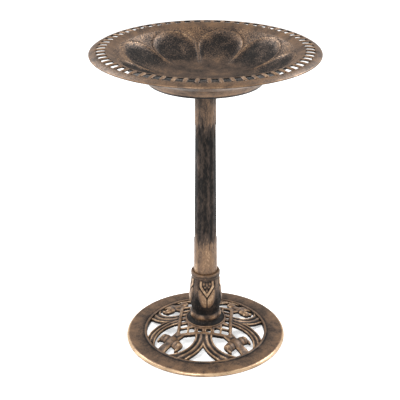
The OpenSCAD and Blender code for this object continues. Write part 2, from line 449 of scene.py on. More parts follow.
# Moulded plastic is an even black satin, rubber is matt, and zinc plate is a bright clouded grey
MOULDED_PLASTIC = PlainFinish("moulded_black_abs", "#1c1c1d", 0.0, 0.42, 0.55, 0.6)
SEAT_RUBBER = PlainFinish("moulded_black_rubber", "#141414", 0.0, 0.7, 0.85, 0.4)
ZINC_STEEL = PlainFinish("zinc_plated_steel", "#b4b6ba", 1.0, 0.26, 0.42, 1.5)


# Bowl


@dataclass
class Bowl:
    """Dished bowl with an openwork rim, cast in one with its foot ring."""

    lip_r: float
    crest_z: float
    floor_z: float
    foot_z: float
    boss_z: float
    dish_r: float = 198.0
    crest_rise: float = 9.0
    crest_r: float = 217.0
    rim_wall: float = 4.0
    dish_power: float = 3.2
    rim_in_power: float = 1.25
    rim_out_power: float = 2.7
    wall: float = 5.85
    lip_t: float = 2.0
    slots: int = 60
    slot_in: float = 215.6
    slot_out: float = 236.0
    slot_angle: float = 2.2
    cells_open: int = 6
    cells_bar: int = 4
    corner_power: int = 5
    petals: int = 9
    petal_angle: float = 0.3
    petal_root_r: float = 150.0
    petal_rise: float = 46.0
    foot_r: float = 127.0
    boss_r: float = 30.0

    @property
    def lip_z(self) -> float:
        """Height of the lip."""
        return self.crest_z - self.crest_rise

    @property
    def steps(self) -> int:
        """Steps round the bowl: whole cells for each slot and each bar."""
        return self.slots * (self.cells_open + self.cells_bar)

    @property
    def half_slot(self) -> float:
        """Half the angle that a slot takes up, in degrees."""
        return self.cells_open / 2 * 360 / self.steps

    @property
    def slot_mid(self) -> float:
        """Radius of the slots' middles."""
        return (self.slot_in + self.slot_out) / 2

    @property
    def slot_reach(self) -> float:
        """Half a slot's length outwards."""
        return (self.slot_out - self.slot_in) / 2

    def dish_top(self, radius: Array | float) -> Array | float:
        """Height of the dish's upper face."""
        share = (radius / self.dish_r) ** self.dish_power
        return self.floor_z + (self.lip_z - self.floor_z) * share

    def rim_top(self, radius: Array | float) -> Array | float:
        """Gives the rim's upper face: steep inside the crest, level and then falling outside it.

        Args:
            radius: Distance from the axis.

        Returns:
            Its height.
        """
        inner = np.clip((self.crest_r - radius) / (self.crest_r - self.dish_r), 0, 1)
        outer = np.clip((radius - self.crest_r) / (self.lip_r - self.crest_r), 0, 1)
        fall = inner ** self.rim_in_power + outer ** self.rim_out_power
        return self.lip_z + self.crest_rise * (1 - fall)

    def outline(self) -> Outline:
        """Draws the outline from the dish's middle, over the rim and back underneath to the boss.

        Returns:
            Points of (radius, height).
        """
        dish = [*np.arange(0, 90, 12), *np.arange(90, self.dish_r - 1, 2.6)]
        slot_rows = list(np.linspace(self.slot_in, self.slot_out, 7))
        inner_rows = [self.dish_r + d for d in (1.6, 4, 6.6, 9.4, 12.4, 15.4)]
        outer_rows = [self.lip_r - d for d in (17, 13, 9, 5.5, 2.6, 0.8)]
        top = [(r, self.dish_top(r)) for r in dish]
        top.append((self.dish_r, self.lip_z))
        top += [(r, self.rim_top(r)) for r in inner_rows + slot_rows + outer_rows]
        low_z = self.lip_z - self.lip_t
        lip = [(self.lip_r, self.lip_z - 0.4), (self.lip_r - 0.1, low_z + 0.5),
               (self.lip_r - 0.6, low_z + 0.1), (self.lip_r - 1.5, low_z)]
        under_rows = [self.lip_r - d for d in (6, 9, 13, 17)] + slot_rows[::-1]
        under_rows += [self.dish_r + d for d in (15.4, 12.4, 9.4, 6.6, 3.4)]
        under = [(r, self.rim_top(r) - self.rim_wall) for r in under_rows]
        shell_rows = np.linspace(self.dish_r, self.foot_r + 8, 9)
        shell = [(r, self.dish_top(r) - self.wall) for r in shell_rows]
        return top + lip + under + shell + self.foot_outline()

    def foot_outline(self) -> Outline:
        """Draws the outline of the foot ring and of the boss inside it.

        Returns:
            Points of (radius, height).
        """
        ring_in = self.foot_r - 6
        inside = [(r, self.dish_top(r) - self.wall) for r in (ring_in, 100, 80, 55, self.boss_r)]
        return [(self.foot_r + 6.2, self.foot_z + 12), (self.foot_r + 3.2, self.foot_z + 6),
                (self.foot_r + 2.3, self.foot_z + 3), (self.foot_r + 0.6, self.foot_z + 0.6),
                (self.foot_r - 0.4, self.foot_z), (ring_in + 0.5, self.foot_z),
                (ring_in, self.foot_z + 0.4), *inside, (self.boss_r, self.boss_z + 0.3),
                (self.boss_r - 0.3, self.boss_z), (0, self.boss_z)]

    def build(self) -> bpy.types.Object:
        """Builds the bowl, its slots, its relief and its rub values.

        Returns:
            The bowl, in millimetres.
        """
        bm = lathe(self.outline(), self.steps, False, self.slot_angle - self.half_slot)
        self.open_slots(bm)
        piece = piece_from("bowl_shell", bm)
        self.raise_relief(piece)
        return piece

    def slot_offset(self, angle: Array | float) -> Array | float:
        """Angle in degrees from the middle of the nearest slot."""
        return fold(angle - self.slot_angle, 360 / self.slots)

    def slot_share(self, along: Array | float, across: Array | float) -> Array | float:
        """Gives a point's place between a slot's middle, 0, and its rounded outline, 1.

        Args:
            along: Distance outwards from the slot's middle, 1 at its end.
            across: Distance sideways from it, 1 at its side.

        Returns:
            The share.
        """
        power = self.corner_power
        return (abs(along) ** power + abs(across) ** power) ** (1 / power)

    def in_slot(self, point: Vector) -> bool:
        """Tells whether a point of the rim lies in a slot.

        Args:
            point: The point.

        Returns:
            True inside the slot's square outline.
        """
        angle = math.degrees(math.atan2(point.y, point.x))
        in_row = abs(math.hypot(point.x, point.y) - self.slot_mid) < self.slot_reach
        return (in_row and point.z > self.lip_z - 1
                and abs(self.slot_offset(angle)) < self.half_slot)

    def open_slots(self, bm: bmesh.types.BMesh) -> None:
        """Cuts the slots through the rim, rounds their corners and breaks their upper edges.

        Args:
            bm: The bowl, still without slots.
        """
        gone = [face for face in bm.faces if self.in_slot(face.calc_center_median())]
        bmesh.ops.delete(bm, geom=gone, context="FACES")
        loops: dict[int, list[bmesh.types.BMEdge]] = {}
        for edge in bm.edges:
            if edge.is_boundary:
                mid = (edge.verts[0].co + edge.verts[1].co) / 2
                angle = math.degrees(math.atan2(mid.y, mid.x)) - self.slot_angle
                number = round(angle / (360 / self.slots)) % self.slots
                loops.setdefault(number, []).append(edge)
        upper = [e for group in loops.values() for e in group
                 if all(v.co.z > self.rim_top(math.hypot(v.co.x, v.co.y)) - 1 for v in e.verts)]
        for vert in {v for group in loops.values() for e in group for v in e.verts}:
            angle = math.degrees(math.atan2(vert.co.y, vert.co.x))
            along = (math.hypot(vert.co.x, vert.co.y) - self.slot_mid) / self.slot_reach
            shrink = 1 / self.slot_share(along, self.slot_offset(angle) / self.half_slot)
            turn = math.radians(angle + self.slot_offset(angle) * (shrink - 1))
            radius = self.slot_mid + along * shrink * self.slot_reach
            vert.co.x, vert.co.y = radius * math.cos(turn), radius * math.sin(turn)
        for group in loops.values():
            bmesh.ops.bridge_loops(bm, edges=group)
        bmesh.ops.bevel(bm, geom=upper, offset=0.5, offset_type="OFFSET", segments=2, profile=0.5,
                        affect="EDGES", material=-1)

    def petal_depth(self, radius: Array, angle: Array) -> Array:
        """Measures how far inside the nearest petal's outline each point lies.

        Args:
            radius: Distance from the axis.
            angle: Angle in degrees.

        Returns:
            Millimetres, negative outside the petal.
        """
        half = 180 / self.petals
        side = np.abs(fold(angle - self.petal_angle, 2 * half)) / half
        width = np.radians(half) * np.maximum(radius, 1)
        up = (radius - self.petal_root_r) / self.petal_rise
        norm = np.sqrt(np.maximum(up, 0) ** 2 + side ** 2) + 1e-6
        slope = np.sqrt((np.maximum(up, 0) / self.petal_rise) ** 2 + (side / width) ** 2) / norm
        arch = (1 - norm) / np.maximum(slope, 1e-4)
        return np.where(up > 0, np.minimum(arch, self.petal_rise), (1 - side) * width)

    def raise_relief(self, piece: bpy.types.Object) -> None:
        """Raises the petals in the dish, crowns the bars of the rim and stores the rub values, some
        of them painted highlights and painted shade.

        Args:
            piece: The bowl, still smooth.
        """
        points = points_of(piece)
        x, y, z = points.T
        radius, angle = polar(points)
        in_dish = (radius < self.dish_r - 0.5) & (z > self.dish_top(radius) - 2)
        depth = self.petal_depth(radius, angle)
        fade = ease(radius, 84, 104)
        bead = 1.5 * hump(depth - 2.2, 1.9)
        bowl_in = -1.6 * ease(depth, 2, 16) + 1.2 * ease(depth, 14, 40)
        seam = -0.9 * hump(depth, 1.3) * (radius < self.petal_root_r + 4)
        height = np.where(in_dish, (bead + bowl_in + seam) * fade * ease(-radius, -197, -190), 0)
        steep = (self.lip_z - self.floor_z) * self.dish_power / self.dish_r
        slope = steep * (radius / self.dish_r) ** (self.dish_power - 1)
        tilt = np.arctan(np.where(in_dish, slope, 0))
        shrink = 1 - height * np.sin(tilt) / np.maximum(radius, 1)
        z = z + height * np.cos(tilt)

        above = z > self.rim_top(radius) - self.rim_wall / 2
        rim = radius > self.dish_r
        hidden = np.where(rim, z < self.rim_top(radius) - 0.2, z < self.dish_top(radius) - 2.5)
        under = hidden & ((radius < self.lip_r - 1.2) | (z < self.lip_z - 1.2))
        off_slot = np.abs(self.slot_offset(angle))
        along = np.abs(radius - self.slot_mid) / self.slot_reach
        past = (self.slot_share(along, off_slot / self.half_slot) - 1) * 7
        half_bar = self.cells_bar / 2 * 360 / self.steps
        from_bar = np.clip((180 / self.slots - off_slot) / half_bar, 0, 1)
        crown = -2.4 * (1 - np.sqrt(1 - from_bar ** 2)) * ease(-along, -1.15, -0.8)
        ends = -0.3 * np.exp(-np.maximum(past, 0) / 1.6)
        z = np.where(above & rim, z + np.minimum(crown, ends), z)
        move_points(piece, np.stack([x * shrink, y * shrink, z], 1))

        near_rim = ease(radius, 132, 176)
        inside = ease(depth, 0.8 + 2 * near_rim, 5 + 15 * near_rim)
        petal = 0.43 + 0.16 * hump(depth - 2.2, 1.8) - 0.28 * hump(depth, 1.0) - 0.38 * inside
        centre = ease(radius, 96, 132)
        dish = petal * centre + 0.27 * (1 - centre)
        # The lip's rounded edge and the tops of the bars between the slots are made paler: partly
        # rubbed high places, partly a painted highlight
        slot_zone = hump(np.maximum(along - 0.8, 0), 0.3) * rim
        edge = 0.22 * hump(radius - self.lip_r, 1.6) + 0.24 * slot_zone * (1 - from_bar ** 2)
        top = np.where(rim, 0.43 + edge, dish)
        # A pale line round the foot ring is a painted highlight, and the near black along its lowest
        # edge is painted shade
        pale = 0.35 * hump(z - self.foot_z - 8, 2.2) - 0.6 * (z < self.foot_z + 4)
        # Under the rim, down the slots' walls and under the lip the colour is near black: painted
        # shade. The rest of the underside keeps a plain brown.
        underside_with_painted_light = np.where(radius > self.dish_r - 30, 0.02, 0.42) + pale * (radius > self.foot_r - 4)
        write_values(piece, "rub", np.clip(np.where(under, underside_with_painted_light, top), 0, 1))
        grit = np.where(under | rim, 0.06, 0.12 + 0.88 * ease(radius, 96, 128))
        write_values(piece, "stipple", grit)


# Column


@dataclass
class Column:
    """Tapered hollow column, shallow flutes between a crown of hanging and one of rising leaves."""

    low_z: float
    top_z: float
    collar_z: float
    top_r: float = 22.8
    collar_r: float = 27.0
    bore_r: float = 19.5
    steps: int = 168
    row: float = 3.0
    flutes: int = 12
    flute_depth: float = 0.7
    leaves: int = 6
    leaf_angle: float = -84.0
    top_leaves: tuple[float, float] = (118.0, 92.0)
    low_leaves: tuple[float, float] = (116.0, 88.0)

    def surface(self, height: Array | float) -> Array | float:
        """Radius of the plain tapered surface."""
        share = (height - self.collar_z) / (self.top_z - self.collar_z)
        return self.collar_r + (self.top_r - self.collar_r) * share

    def build(self) -> bpy.types.Object:
        """Builds the tube with its relief and rub values.

        Returns:
            The tube, in millimetres.
        """
        hidden = [self.low_z, (self.low_z + self.collar_z) / 2]
        shown = list(np.arange(self.collar_z - 4, self.top_z, self.row))
        outline = [(self.bore_r, self.low_z)]
        outline += [(self.surface(z), z) for z in hidden + shown + [self.top_z]]
        outline += [(self.bore_r, self.top_z)]
        piece = piece_from("column_shaft", lathe(outline, self.steps, True))
        self.raise_relief(piece)
        return piece

    def leaf(self, angle: Array, along: Array, phase: float, length: float) -> tuple[Array, Array]:
        """Shapes one rank of leaves.

        Args:
            angle: Angle in degrees.
            along: Distance from the leaves' root towards their tips.
            phase: Angle of the first leaf.
            length: Length of a leaf.

        Returns:
            The height of the relief, and 1 inside a leaf and 0 outside.
        """
        side = np.abs(fold(angle - phase, 360 / self.leaves))
        share = np.clip(along / length, 0, 1)
        lobes = 1 + 0.14 * np.cos(share * 2 * np.pi * 4.5)
        half = 27 * (1 - share ** 1.9) ** 0.75 * lobes + 0.01
        inside = ease(1 - side / half, 0, 0.22) * (along < length) * (along > -3)
        rib = hump(side, 2.4) * 0.6
        veins = 0.28 * np.cos(2 * np.pi * (along / 11 + side / 16))
        return inside * (0.8 + rib + veins), inside

    def raise_relief(self, piece: bpy.types.Object) -> None:
        """Presses in the flutes, raises the leaves and stores the rub values.

        Args:
            piece: The tube, still smooth.
        """
        points = points_of(piece)
        x, y, z = points.T
        radius, angle = polar(points)
        outside = (radius > self.bore_r + 1) & (z > self.collar_z - 5) & (z < self.top_z - 1)
        down, up = self.top_z - z, z - self.collar_z
        flute = -self.flute_depth * (0.5 + 0.5 * np.cos(np.radians(angle - 3) * self.flutes))
        heights, masks = [], []
        for along, lengths in ((down, self.top_leaves), (up, self.low_leaves)):
            for rank, (length, share) in enumerate(zip(lengths, (1.0, 0.7))):
                turn = rank * 180 / self.leaves
                height, mask = self.leaf(angle, along, self.leaf_angle + turn, length)
                heights.append(height * share)
                masks.append(mask)
        leaves, inside = np.maximum.reduce(heights), np.maximum.reduce(masks)
        grow = np.where(outside, np.where(inside > 0.3, leaves * 0.8, flute + leaves * 0.8), 0)
        scale = 1 + grow / radius
        move_points(piece, np.stack([x * scale, y * scale, z], 1))
        relief = 0.3 * np.clip(leaves - 0.7, -1, 1)
        high = 0.46 * ease(-down, -150, -50) * (0.45 + 0.55 * ease(down, 8, 60))
        low = 0.54 * ease(-up, -135, -50)
        rub = 0.04 + (high + low) * (0.5 + 0.5 * inside + relief) + 0.14 * (flute + 0.35)
        write_values(piece, "rub", np.clip(rub, 0, 1))
        write_values(piece, "stipple", 0.25 * inside)


# Collar


@dataclass
class Collar:
    """Collar round the column's foot: big leaves, crossing bands, a lobed bead and a flange."""

    low_z: float
    top_z: float
    flange_r: float
    socket_r: float = 28.2
    socket_z: float = 118.0
    bolt_r: float = 4.5
    steps: int = 288
    notch_angle: float = -81.2
    notch_z: float = 118.0
    band_slope: float = 1.35
    leaf_turn: float = 19.0
    body_r: float = 39.0
    body_row: float = 0.95
    panels: int = 4
    bead_lobes: int = 8

    def outline(self) -> Outline:
        """Draws the closed outline: flange, cove, bead, waist, body and band, then the inside.

        Returns:
            Points of (radius, height).
        """
        edge, low, top = self.flange_r, self.low_z, self.top_z
        flange = [(edge - 0.4, low), (edge, low + 0.5), (edge, low + 2.4), (edge - 0.5, low + 3.5),
                  (edge - 1.6, low + 4.0), (edge - 2.7, low + 3.6), (edge - 4, low + 3.8),
                  (edge - 6.5, low + 5.2), (edge - 9, low + 7.0)]
        cove = [(37.0, low + 9), (36.2, low + 11.5), (36.2, low + 13.5), (36.8, low + 14.8)]
        bead = [(37.5, low + 16.2), (37.9, low + 18.6), (37.6, low + 21), (36.5, low + 23.6),
                (34.9, low + 25.6), (33.7, low + 27.2)]
        waist = [(33.3, low + 29), (33.2, low + 31), (33.4, low + 33)]
        body_rows = np.arange(low + 34.5, top - 15, self.body_row)
        body = [(float(self.body_at(z)), float(z)) for z in body_rows]
        band = [(33.2, top - 14), (33.0, top - 13), (33.1, top - 12.2), (34.0, top - 11.2),
                (34.5, top - 9.6), (34.1, top - 8), (33.6, top - 7.2), (33.8, top - 6.4),
                (34.5, top - 5.2), (34.6, top - 3.4), (34.3, top - 1.6), (33.5, top - 0.4),
                (32.4, top), (self.socket_r + 0.6, top)]
        inside = [(self.socket_r, top - 0.6), (self.socket_r, self.socket_z),
                  (self.bolt_r, self.socket_z), (self.bolt_r, low)]
        return flange + cove + bead + waist + body + band + inside

    def body_at(self, height: Array | float) -> Array | float:
        """Gives the plain body between the waist and the band.

        Args:
            height: Height on the body.

        Returns:
            Its radius.
        """
        knots = self.top_z - np.array([100, 94, 86, 78, 70, 60, 46, 28, 14, 0])
        radii = [33.3, 34.8, 37.0, 38.2, 38.4, 38.0, 36.9, 35.4, 33.9, 33.4]
        return np.interp(height, knots, radii)

    def build(self) -> bpy.types.Object:
        """Builds the collar with its relief and rub values.

        Returns:
            The collar, in millimetres.
        """
        piece = piece_from("collar_casting", lathe(self.outline(), self.steps, True))
        self.raise_relief(piece)
        return piece

    def raise_relief(self, piece: bpy.types.Object) -> None:
        """Shapes the leaves, bands, motif and bead lobes, and stores the rub values.

        Args:
            piece: The collar, still smooth.
        """
        points = points_of(piece)
        x, y, z = points.T
        radius, angle = polar(points)
        turn_round = np.abs(fold(angle - self.notch_angle, 360 / self.panels))
        side = turn_round * math.radians(self.body_r)
        rise = z - self.notch_z
        tilt = math.hypot(1, self.band_slope)
        over = np.minimum((rise - self.band_slope * side) / tilt, 20.5 - side)
        body = ease(z, self.low_z + 32, self.low_z + 39)
        body *= ease(-z, 14 - self.top_z, 16 - self.top_z + 1e-3)
        body *= (radius > self.socket_r + 2)
        band = ease(over, 0.2, 1.6) * ease(-over, -7.6, -6.4)
        field = ease(over, 6.4, 8.0)
        turn = math.radians(self.leaf_turn)
        along = (side - 11.5) * math.sin(turn) + (rise + 3) * math.cos(turn)
        across = (side - 11.5) * math.cos(turn) - (rise + 3) * math.sin(turn)
        oval = np.clip(1 - (along / 26) ** 2 - (across / 10) ** 2, 0, 1) * (over < 0)
        leaf = ease(-over, 0.4, 3.0) * ease(oval, 0, 0.25)
        slit = hump(side, 1.3) * ease(z, self.notch_z - 32, self.notch_z - 24) * (rise < 1)
        rib = hump(side - 28, 1.6) * ease(-over, 0.4, 4.5)
        motif = (hump(side, 2.4) * hump(rise - 34, 5) + hump(side - 8, 3.2) * hump(rise - 36, 3.4)
                 + hump(side, 2.2) * hump(rise - 20, 4.5)
                 + hump(side - 5, 2.2) * hump(rise - 28, 2.6))
        height = body * (0.9 * band - 0.9 * field * (1 - np.clip(motif, 0, 1)) + 0.5 * field * motif
                         + 1.9 * np.sqrt(oval) - 0.5 - 1.9 * slit + 0.5 * rib
                         - 1.0 * hump(over, 0.9))
        bead = ease(z, self.low_z + 13, self.low_z + 17)
        bead *= ease(-z, -self.low_z - 27, -self.low_z - 22)
        off_lobe = angle - self.notch_angle - 180 / self.bead_lobes
        lobes = 0.5 + 0.5 * np.cos(np.radians(off_lobe) * self.bead_lobes)
        height = height + bead * (radius > self.socket_r + 2) * (2.3 * lobes ** 0.7 - 1.5)
        scale = 1 + height / radius
        move_points(piece, np.stack([x * scale, y * scale, z], 1))

        low_dark = ease(z, self.low_z + 40, self.low_z + 58)
        panel = 0.3 * ease(-over, 0.5, 6) * ease(side, 16, 24) * ease(rise, -22, 16)
        leaf_rub = leaf * (0.24 + 0.42 * low_dark * (1 - ease(across, 0, 10))) + panel * (1 - leaf)
        rub = body * (0.7 * band + 0.08 * field + 0.6 * field * np.clip(motif, 0, 1) + leaf_rub
                      - 0.35 * slit - 0.4 * hump(over, 0.8)) + (1 - body) * 0.3
        flange = hump(radius - self.flange_r + 1.0, 1.5) * (z < self.low_z + 8)
        rub += 0.4 * flange - 0.26 * (z < self.low_z + 13) + bead * (0.3 * lobes - 0.08)
        waist = ease(z, self.low_z + 25, self.low_z + 29)
        waist *= ease(-z, -self.low_z - 40, -self.low_z - 33)
        top_band = ease(z, self.top_z - 12, self.top_z - 9)
        rub = rub - 0.2 * waist - 0.02 * top_band
        ridge = np.clip(stand_out(piece, 10), -1, 1)
        write_values(piece, "rub", np.clip(rub + 0.22 * ridge, 0, 1))
        write_values(piece, "stipple", np.full(len(rub), 0.1))


# Base


@dataclass
class Base:
    """Ring on the ground with a dome of scrollwork up to the hub, cast in one."""

    ring_r: float
    hub_z: float
    hub_low_z: float = 32.0
    hub_r: float = 48.5
    ring_in: float = 143.0
    ring_steps: int = 360
    ridge_z: float = 13.0
    arm_centre: tuple[float, float] = (70.0, -67.0)
    arm_mid_r: float = 63.5
    arm_start: float = 172.0
    arm_sweep: float = 108.0
    arm_steps: int = 54
    pair_gap: float = 0.35
    frame_half: float = 66.0
    frame_bar: float = 8.0
    rung_pitch: float = 19.5
    rung_w: float = 5.0
    rung_extra: float = 4.0
    depth: float = 8.0
    foot_gap: float = 1.0
    voxel: float = 1.4

    def dome(self, radius: Array | float) -> Array | float:
        """Gives the dome that the scrollwork lies on, which dips under the ring's ridge.

        Args:
            radius: Distance from the axis.

        Returns:
            Its height.
        """
        fall = (self.hub_z - 0.5 - self.ridge_z + 1) / (self.ring_in + 3 - self.hub_r)
        dip = 3.2 * ease(radius, self.ring_in - 11, self.ring_in + 1)
        return self.hub_z - 0.5 - fall * np.maximum(radius - self.hub_r, 0) - dip

    def build_ring(self) -> bpy.types.Object:
        """Builds the ring: inner ridge, groove, broad sloping band and rounded outer edge.

        Returns:
            The ring, in millimetres.
        """
        inner, outer, top = self.ring_in, self.ring_r, self.ridge_z
        ridge = [(inner + 0.4, 0), (inner, 0.5), (inner, top - 2), (inner + 0.5, top - 0.8),
                 (inner + 1.6, top - 0.1), (inner + 3, top), (inner + 4.6, top - 0.1),
                 (inner + 5.8, top - 0.7)]
        groove = [(inner + 6.8, top - 2), (inner + 8, top - 2.5), (inner + 9.6, top - 2.1)]
        band = [(inner + 14, top - 1.9), (inner + 20, top - 2.1), (inner + 27, top - 2.7),
                (inner + 34, top - 3.3), (outer - 9, top - 3.7), (outer - 7, top - 3.9)]
        edge = [(outer - 5, top - 4.4), (outer - 3.2, top - 5.3), (outer - 1.6, top - 6.6),
                (outer - 0.5, top - 8.2), (outer, top - 10), (outer - 0.5, top - 11.6),
                (outer - 2.6, 0.3), (outer - 4.5, 0)]
        bm = lathe(ridge + groove + band + edge, self.ring_steps, True)
        piece = piece_from("base_ring", bm)
        points = points_of(piece)
        radius, z = polar(points)[0], points[:, 2]
        rub = 0.3 + 0.14 * ease(radius, inner + 8, outer - 10)
        rub -= 0.4 * hump(radius - inner - 7.6, 1.6)
        # The rounded outer edge is made much paler: partly a rubbed edge, partly a painted highlight
        # along it
        rub += 0.26 * hump(radius - inner - 3, 2.6) + 0.6 * ease(radius, outer - 7, outer - 3)
        rub -= 0.6 * ease(-z, -4, -2) + 0.4 * (radius < inner + 0.3)
        write_values(piece, "rub", np.clip(rub, 0, 1))
        write_values(piece, "stipple", np.full(len(rub), 0.08))
        return piece

    def build_openwork(self) -> bpy.types.Object:
        """Builds arms, flowers, frame, rungs and hub, and casts them into one skin.

        Returns:
            The openwork, in millimetres.
        """
        quarter = bmesh.new()
        self.add_arm(quarter)
        mirrored = quarter.copy()
        bmesh.ops.transform(mirrored, matrix=Matrix.Diagonal((-1, 1, 1, 1)), verts=mirrored.verts)
        bmesh.ops.reverse_faces(mirrored, faces=mirrored.faces)
        self.join(quarter, mirrored)
        self.add_flower(quarter)
        self.add_frame_side(quarter)
        whole = bmesh.new()
        for turn in range(4):
            copy = quarter.copy()
            quarter_turn = Matrix.Rotation(turn * math.pi / 2, 3, "Z")
            bmesh.ops.rotate(copy, cent=(0, 0, 0), matrix=quarter_turn, verts=copy.verts)
            self.join(whole, copy)
        quarter.free()
        self.drape(whole)
        hub = bmesh.ops.create_cone(whole, cap_ends=True, segments=96, radius1=self.hub_r,
                                    radius2=self.hub_r, depth=self.hub_z - self.hub_low_z)
        hub_mid_z = (self.hub_z + self.hub_low_z) / 2 - 0.2
        bmesh.ops.translate(whole, verts=hub["verts"], vec=(0, 0, hub_mid_z))
        piece = self.cast(whole)
        self.store_rub(piece)
        return piece

    @staticmethod
    def join(target: bmesh.types.BMesh, source: bmesh.types.BMesh) -> None:
        """Adds a bmesh to another and frees it.

        Args:
            target: The bmesh that grows.
            source: The bmesh that goes into it.
        """
        mesh = bpy.data.meshes.new("joined")
        source.to_mesh(mesh)
        source.free()
        target.from_mesh(mesh)
        bpy.data.meshes.remove(mesh)

    def drape(self, bm: bmesh.types.BMesh) -> None:
        """Lifts flat work, modelled with its face at height 0, onto the dome.

        Args:
            bm: The flat work.
        """
        for vert in bm.verts:
            lift = float(self.dome(math.hypot(vert.co.x, vert.co.y)))
            vert.co.z = max(vert.co.z + lift, self.foot_gap)

    def add_arm(self, bm: bmesh.types.BMesh) -> None:
        """Adds the right arm of the front pair: a band with raised edges, spun to the ring.

        Args:
            bm: The bmesh.
        """
        half = [(0.0, 0.9), (2.0, -0.2), (3.4, -1.6), (7.6, -1.9), (9.0, -0.8), (10.6, 1.2),
                (12.2, 1.1), (13.5, -0.8), (13.5, -self.depth)]
        section = [(-s, h) for s, h in reversed(half)] + half[1:]
        centre = Vector((*self.arm_centre, 0))
        start = math.radians(self.arm_start)
        along = Vector((math.cos(start), math.sin(start), 0))
        verts = [bm.verts.new(centre + along * (self.arm_mid_r + s) + Vector((0, 0, h)))
                 for s, h in section]
        face = bm.faces.new(verts)
        bmesh.ops.spin(bm, geom=[face, *face.edges, *face.verts], cent=centre, axis=(0, 0, 1),
                       angle=math.radians(self.arm_sweep), steps=self.arm_steps,
                       use_duplicate=False)
        cut = bmesh.ops.bisect_plane(bm, geom=[*bm.verts, *bm.edges, *bm.faces], dist=WELD,
                                     plane_co=(self.pair_gap, 0, 0), plane_no=(1, 0, 0),
                                     clear_inner=True)
        rim = [e for e in cut["geom_cut"] if isinstance(e, bmesh.types.BMEdge)]
        bmesh.ops.contextual_create(bm, geom=rim)
        bmesh.ops.recalc_face_normals(bm, faces=bm.faces)

    @staticmethod
    def add_blob(bm: bmesh.types.BMesh, at: tuple[float, float],
                 size: tuple[float, float, float], lift: float = 0.0, turn: float = 0.0) -> None:
        """Adds a flattened ball to the work on the front right diagonal.

        Args:
            bm: The bmesh.
            at: Distance out along the diagonal and to its side.
            size: Half the length, half the width and half the thickness.
            lift: Height of its middle above the work's face.
            turn: Turn in its own plane, in degrees.
        """
        ball = bmesh.ops.create_uvsphere(bm, u_segments=24, v_segments=12, radius=1)["verts"]
        diagonal = Matrix.Rotation(-math.pi / 4, 4, "Z") @ Matrix.Translation((*at, lift))
        shape = Matrix.Rotation(math.radians(turn), 4, "Z") @ Matrix.Diagonal((*size, 1))
        bmesh.ops.transform(bm, matrix=diagonal @ shape, verts=ball)

    def add_bar(self, bm: bmesh.types.BMesh, start: tuple[float, float],
                end: tuple[float, float], widths: tuple[float, float], top: float,
                round_top: float, turn: float = 0.0) -> None:
        """Adds a bar with rounded upper edges between two points.

        Args:
            bm: The bmesh.
            start: Middle of its first end.
            end: Middle of its other end.
            widths: Its width at either end.
            top: Height of its upper face.
            round_top: Radius of the upper edges.
            turn: Turn of the whole bar about the axis, in degrees.
        """
        first, last = Vector((*start, 0)), Vector((*end, 0))
        span = last - first
        own = bmesh.new()
        bmesh.ops.create_cube(own, size=1)
        upper = [e for e in own.edges if all(v.co.z > 0 for v in e.verts)
                 and e.verts[0].co.y == e.verts[1].co.y]
        for vert in own.verts:
            share = vert.co.x + 0.5
            wide = widths[0] + (widths[1] - widths[0]) * share
            height = top if vert.co.z > 0 else -self.depth
            vert.co = (share * span.length, vert.co.y * wide, height)
        bmesh.ops.bevel(own, geom=upper, offset=round_top, segments=4, profile=0.5,
                        affect="EDGES", material=-1)
        long_edges = [e for e in own.edges
                      if abs(e.verts[0].co.x - e.verts[1].co.x) > span.length * 0.9]
        bmesh.ops.subdivide_edges(own, edges=long_edges, cuts=max(1, int(span.length / 5)))
        place = (Matrix.Rotation(math.radians(turn), 4, "Z") @ Matrix.Translation(first)
                 @ Matrix.Rotation(math.atan2(span.y, span.x), 4, "Z"))
        bmesh.ops.transform(own, matrix=place, verts=own.verts)
        self.join(bm, own)

    def add_flower(self, bm: bmesh.types.BMesh) -> None:
        """Adds the three-lobed flower on the front right diagonal, with its stem.

        Args:
            bm: The bmesh.
        """
        thick = self.depth
        self.add_bar(bm, (80, 0), (104, 0), (27, 23), 0.6, 3, -45)
        self.add_bar(bm, (112, 0), (150, 0), (19, 26), 0.4, 4, -45)
        self.add_blob(bm, (108, 0), (16, 15, thick), -4.0)
        for side in (-1, 1):
            self.add_blob(bm, (108.5, side * 18), (11.5, 13, thick), -4.6, side * 12)
            self.add_blob(bm, (110, side * 26.5), (11.5, 9.4, thick), -4.4, side * -14)
            self.add_blob(bm, (120, side * 31.5), (7.4, 3.6, thick - 2), -4.4, side * -10)
            self.add_blob(bm, (110, side * 27), (5.2, 5.2, 3.6), 1.8)

    def add_frame_side(self, bm: bmesh.types.BMesh) -> None:
        """Adds the front side of the square frame and the rungs from it towards the hub.

        Args:
            bm: The bmesh.
        """
        half_bar = self.frame_bar / 2
        mid = self.frame_half - half_bar
        self.add_bar(bm, (-mid - half_bar, -mid), (mid + half_bar, -mid),
                     (self.frame_bar, self.frame_bar), 1.6, 3.2)
        for index in range(-2, 3):
            x = index * self.rung_pitch
            wide = self.rung_w if abs(index) == 2 else self.rung_w + self.rung_extra
            self.add_bar(bm, (x, -mid), (x, 0), (wide, wide), -0.8, 1.8)

    def cast(self, bm: bmesh.types.BMesh) -> bpy.types.Object:
        """Casts overlapping closed shapes into one smooth skin.

        Args:
            bm: The shapes.

        Returns:
            The openwork.
        """
        rough = piece_from("openwork_rough", bm)
        skin = rough.modifiers.new("cast", "REMESH")
        skin.mode = "VOXEL"
        skin.voxel_size = self.voxel
        graph = bpy.context.evaluated_depsgraph_get()
        mesh = bpy.data.meshes.new_from_object(rough.evaluated_get(graph))
        bpy.data.objects.remove(rough)
        smooth = bmesh.new()
        smooth.from_mesh(mesh)
        bpy.data.meshes.remove(mesh)
        for _ in range(3):
            bmesh.ops.smooth_vert(smooth, verts=smooth.verts, factor=0.5, use_axis_x=True,
                                  use_axis_y=True, use_axis_z=True)
        return piece_from("base_openwork", smooth)

